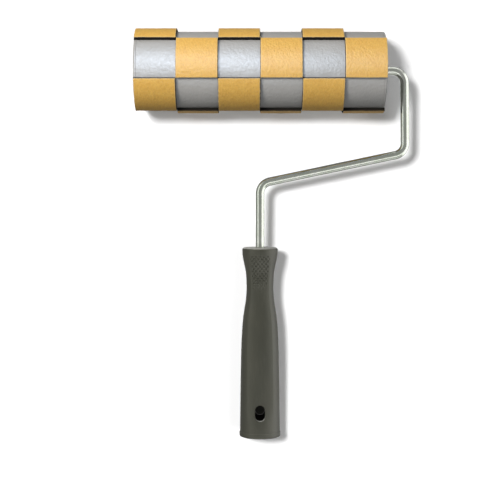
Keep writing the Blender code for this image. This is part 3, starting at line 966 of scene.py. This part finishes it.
def filled(points, step):
    """The same path with points added along its long runs."""
    path = [points[0]]
    for a, b in zip(points, points[1:]):
        count = max(1, round((b - a).length / step))
        path += [a.lerp(b, k / count) for k in range(1, count + 1)]
    return path


wire_path = filled(rounded_path(wire_corners, BEND_RADIUS), RUN_STEP)
wire_length = sum((b - a).length for a, b in zip(wire_path, wire_path[1:]))
print("wire length, mm:", round(1000 * wire_length, 1))


# %% Sweep the wire
def swept(path, radius, sides, edge):
    """Points and faces of a rod along a flat path, with its two ends rounded."""
    rings = [(path[0], radius - edge, path[1] - path[0])]
    rings.append((path[0] + (path[1] - path[0]).normalized() * 0.3 * edge,
                  radius - 0.3 * edge, path[1] - path[0]))
    for i, spot in enumerate(path):
        ahead = path[min(i + 1, len(path) - 1)] - path[max(i - 1, 0)]
        if i == 0:
            spot = spot + ahead.normalized() * edge
        if i == len(path) - 1:
            spot = spot - ahead.normalized() * edge
        rings.append((spot, radius, ahead))
    last = path[-1] - path[-2]
    rings.append((path[-1] - last.normalized() * 0.3 * edge, radius - 0.3 * edge, last))
    rings.append((path[-1], radius - edge, last))
    points = []
    for spot, reach, ahead in rings:
        side = Vector((ahead.y, -ahead.x)).normalized()
        for j in range(sides):
            a = 2 * math.pi * j / sides
            out = spot + side * (reach * math.cos(a))
            points.append((out.x, out.y, reach * math.sin(a)))
    faces = quads(len(rings), sides)
    faces.append(tuple(range(sides)))
    faces.append(tuple(range(len(points) - sides, len(points))))
    return points, faces


wire_points, wire_faces = swept(wire_path, WIRE_RADIUS, WIRE_SIDES, WIRE_END_EDGE)
wire = piece("bent_wire", wire_points, wire_faces, zinc, "zinc_plated_steel", "frame",
             "frame_wire", TOOL_PLANE)
print("wire points:", len(wire_points))

# %% [markdown]
# ## The handle
# One moulding: a full grip, a narrow neck, and a flare under the thumb. Round it run two long
# creases in front and two behind, with slightly flatter faces between them, and the thumb gets a
# patch of small staggered dimples. Below, a thin lip goes round the end, an obround hole lets it
# hang on a hook, and a tapered socket takes an extension pole.
# A turned outline gives the main form. The rows and columns of its points are closer together
# under the thumb, where real dimples are pressed into the mesh. A last guide corner, which is
# dropped again, gives the outline its direction where the lip meets the grip.

# %% Radius of the grip along its length
TOP_EDGE = 1.7 * MM
GRIP_TOP = HANDLE_LENGTH + 1.5 * MM
GRIP_STATIONS = (
    (4.8, 14.7), (33.0, 14.35), (62.0, 13.85), (78.0, 13.15), (88.0, 12.3), (96.0, 11.15),
    (103.0, 10.15), (111.0, 9.85), (121.0, 10.4), (129.5, 12.1), (135.8, 13.1),
)


def smooth_line(stations, pieces=12):
    """A Catmull-Rom curve through (height, radius) stations, in metres."""
    points = [Vector(station) * MM for station in stations]
    ends = [2 * points[0] - points[1]] + points + [2 * points[-1] - points[-2]]
    line = []
    for a, b, c, d in zip(ends, ends[1:], ends[2:], ends[3:]):
        for i in range(pieces):
            t = i / pieces
            bend = 2 * b + (c - a) * t
            bend += (2 * a - 5 * b + 4 * c - d) * t ** 2
            bend += (3 * b - a - 3 * c + d) * t ** 3
            line.append(bend / 2)
    return line + [points[-1]]


grip_line = smooth_line(GRIP_STATIONS)
line_heights = [point.x for point in grip_line]
line_radii = [point.y for point in grip_line]


def grip_radius(height):
    return float(np.interp(height, line_heights, line_radii))


print("neck radius, mm:", round(1000 * min(line_radii), 2))

# %% Rows of the outline, from the socket's bottom, round the end, and up to the top
SOCKET_MOUTH = 11.0 * MM
SOCKET_END = 9.6 * MM
SOCKET_DEPTH = 58.0 * MM
SOCKET_CONE = 5.0 * MM
GRIP_START = LIP_HEIGHT + 1.3 * MM
TOP_RADIUS = 13.15 * MM
THUMB_BOTTOM = 92.0 * MM
THUMB_TOP = 134.4 * MM
FINE_STEP = 0.26 * MM
GRIP_STEP = 0.9 * MM
LIP_EDGE = 0.9 * MM

socket_and_lip = [
    (WIRE_BORE, GRIP_TOP, 0.0),
    (WIRE_BORE, SOCKET_DEPTH + SOCKET_CONE, 0.0),
    (SOCKET_END, SOCKET_DEPTH, 0.8 * MM),
    (SOCKET_MOUTH, 0.0, 0.7 * MM),
    (LIP_RADIUS, 0.0, LIP_EDGE),
    (LIP_RADIUS, LIP_HEIGHT, LIP_EDGE),
    (grip_radius(LIP_HEIGHT), LIP_HEIGHT + 0.45 * MM, 0.25 * MM),
]
guide = (grip_radius(0.0), 9.0 * MM, 0.0)
turned_rows = softened(socket_and_lip + [guide], steps=6)[:-1]
coarse = np.arange(GRIP_START, THUMB_BOTTOM, GRIP_STEP)
fine = np.arange(THUMB_BOTTOM, THUMB_TOP, FINE_STEP)
top_corners = [
    (grip_radius(THUMB_TOP), THUMB_TOP, 0.0),
    (TOP_RADIUS, GRIP_TOP, TOP_EDGE),
    (WIRE_BORE, GRIP_TOP, 0.0),
]
outline = [(p.x, p.y, False) for p in turned_rows]
outline += [(grip_radius(h), h, True) for h in coarse]
outline += [(grip_radius(h), h, True) for h in fine]
outline += [(p.x, p.y, True) for p in softened(top_corners, steps=8)[:-1]]
print("rows:", len(outline))

# %% Columns of the outline: fine in front, wider apart at the sides and behind
CREASE_ANGLE = math.radians(42.0)
FRONT_COLUMNS = 84
SIDE_COLUMNS = 40
side_angle = math.pi - 2 * CREASE_ANGLE
turns = []
for start, spread, count in (
    (-CREASE_ANGLE, 2 * CREASE_ANGLE, FRONT_COLUMNS),
    (CREASE_ANGLE, side_angle, SIDE_COLUMNS),
    (CREASE_ANGLE + side_angle, 2 * CREASE_ANGLE, SIDE_COLUMNS),
    (3 * CREASE_ANGLE + side_angle, side_angle, SIDE_COLUMNS),
):
    turns += [start + spread * k / count for k in range(count)]
print("columns:", len(turns))

# %% Flatter faces, dimples and the small ledge
FLATTER = 1.5
FLAT_BEGINS = (6.0 * MM, 26.0 * MM)
FLAT_ENDS = (118.0 * MM, 134.0 * MM)
DIMPLES_BEGIN = (105.0 * MM, 118.0 * MM)
DIMPLES_END = (133.0 * MM, 134.2 * MM)
DIMPLES_HALF = 4.4 * MM
DIMPLES_SPREAD = 0.10
SPREAD_FROM = 108.0 * MM
DIMPLE_PITCH = 2.8 * MM
DIMPLE_ROW = 1.8 * MM
DIMPLE_DEPTH = 0.62 * MM
LEDGE_HEIGHT = 96.6 * MM
LEDGE_HALF = 3.0 * MM
LEDGE_RUN = 7.0 * MM
LEDGE_DEPTH = 0.10 * MM


def rise(value, low, high):
    """0 below low, 1 above high, and a smooth rise between them."""
    t = min(1.0, max(0.0, (value - low) / (high - low)))
    return t * t * (3 - 2 * t)


def face_depth(x, radius, height):
    """How far the flatter face between two creases lies below the full circle."""
    half = radius * math.sin(CREASE_ANGLE)
    if abs(x) > half * 1.0001:
        return 0.0
    flat_radius = radius * FLATTER
    circle = math.sqrt(radius ** 2 - x ** 2) - math.sqrt(max(0.0, radius ** 2 - half ** 2))
    flat = math.sqrt(flat_radius ** 2 - x ** 2) - math.sqrt(flat_radius ** 2 - half ** 2)
    fade = rise(height, *FLAT_BEGINS) * (1.0 - rise(height, *FLAT_ENDS))
    return (circle - flat) * fade


def dimple_depth(x, height):
    """Staggered dimples under the thumb, fading out towards the neck."""
    up = rise(height, *DIMPLES_BEGIN) * (1.0 - rise(height, *DIMPLES_END))
    reach = DIMPLES_HALF + DIMPLES_SPREAD * (height - SPREAD_FROM)
    inside = 1.0 - rise(abs(x), reach - 0.5 * MM, reach + 0.5 * MM)
    wave = math.cos(2 * math.pi * x / DIMPLE_PITCH) * math.cos(math.pi * height / DIMPLE_ROW)
    return DIMPLE_DEPTH * up * inside * rise(wave, -0.05, 0.7)


def ledge_depth(x, height):
    """A shallow step across the front, below the dimples."""
    inside = 1.0 - rise(abs(x), LEDGE_HALF - 0.8 * MM, LEDGE_HALF + 0.3 * MM)
    step = 1.0 - rise(height, LEDGE_HEIGHT, LEDGE_HEIGHT + 0.5 * MM)
    back = rise(height, LEDGE_HEIGHT - LEDGE_RUN, LEDGE_HEIGHT)
    return LEDGE_DEPTH * inside * step * back


# %% Put the handle's points together
# The band at the handle's top is marked for a painted highlight.
TOP_HIGHLIGHT_BAND = 0.75 * MM
handle_points = []
top_highlight_marks = []
for radius, height, shaped in outline:
    for turn in turns:
        x, z = radius * math.sin(turn), radius * math.cos(turn)
        if shaped:
            z -= math.copysign(face_depth(x, radius, height), z)
        if shaped and math.cos(turn) > 0:
            z -= dimple_depth(x, height) + ledge_depth(x, height)
        handle_points.append((x, height, z))
        top_highlight_marks.append(1.0 if height > GRIP_TOP - TOP_HIGHLIGHT_BAND else 0.0)
handle_faces = quads(len(outline), len(turns), closed_rows=True)
HANDLE_PLACE = TOOL_PLANE @ Matrix.Translation((0.0, -HANDLE_END_DOWN, 0.0))
handle = piece("moulded_handle", handle_points, handle_faces, grip, "handle_plastic", "frame",
               "handle", HANDLE_PLACE, {"top_highlight": ("FLOAT", np.array(top_highlight_marks, np.float32))})
print("handle faces:", len(handle.data.polygons))

# %% [markdown]
# The hanging hole goes right through. Its cutter is an obround bar that flares a little where it
# meets the surface, so the Boolean leaves a softened rim in one go.

# %% Cut the hanging hole
HOLE_WIDTH = 7.3 * MM
HOLE_LENGTH = 11.2 * MM
HOLE_STEPS = 64
HOLE_RIM = 0.45 * MM


def hole_bar():
    """An obround bar along z, wider at both ends."""
    stretch = (HOLE_LENGTH - HOLE_WIDTH) / 2
    top = grip_radius(HOLE_HEIGHT)
    top -= face_depth(0.0, top, HOLE_HEIGHT)
    levels = [(top + 2.0 * MM, 2.0), (top + 0.15 * MM, 0.85), (top - 0.25 * MM, 0.45),
              (top - 0.7 * MM, 0.16), (top - 1.3 * MM, 0.0)]
    levels += [(-z, wide) for z, wide in reversed(levels)]
    points = []
    for z, wide in levels:
        reach = HOLE_WIDTH / 2 + wide * HOLE_RIM
        for k in range(HOLE_STEPS):
            a = 2 * math.pi * (k + 0.5) / HOLE_STEPS
            y = reach * math.sin(a)
            points.append((reach * math.cos(a), y + math.copysign(stretch, y), z))
    faces = quads(len(levels), HOLE_STEPS)
    faces.append(tuple(range(HOLE_STEPS)))
    faces.append(tuple(range(len(points) - HOLE_STEPS, len(points))))
    mesh = bpy.data.meshes.new("hole_bar")
    mesh.from_pydata(points, [], faces)
    shape = bmesh.new()
    shape.from_mesh(mesh)
    bmesh.ops.recalc_face_normals(shape, faces=shape.faces)
    shape.to_mesh(mesh)
    shape.free()
    return mesh


carve(handle, hole_bar(), "DIFFERENCE",
      HANDLE_PLACE @ Matrix.Translation((0.0, HOLE_HEIGHT, 0.0)))
print("handle faces with the hole:", len(handle.data.polygons))

# %% [markdown]
# The gloss lamp gives foam and white plastic their soft highlight. On the mirror-like wire it
# would burn a white line between the cards' bands, and it would grey the handle, so both are
# left out of it. The handle has three cards of its own, which light its edges, and does
# without the near card, which would grey its face.

# %% Share out the lamps
only_for(gloss_lamp, [floor, wire, handle], "EXCLUDE")
for card in cards:
    if card.name.startswith("grip_"):
        only_for(card, [handle], "INCLUDE")
    if card.name == "near_card":
        only_for(card, [handle], "EXCLUDE")
print("gloss lamp leaves out:", wire.name, handle.name)
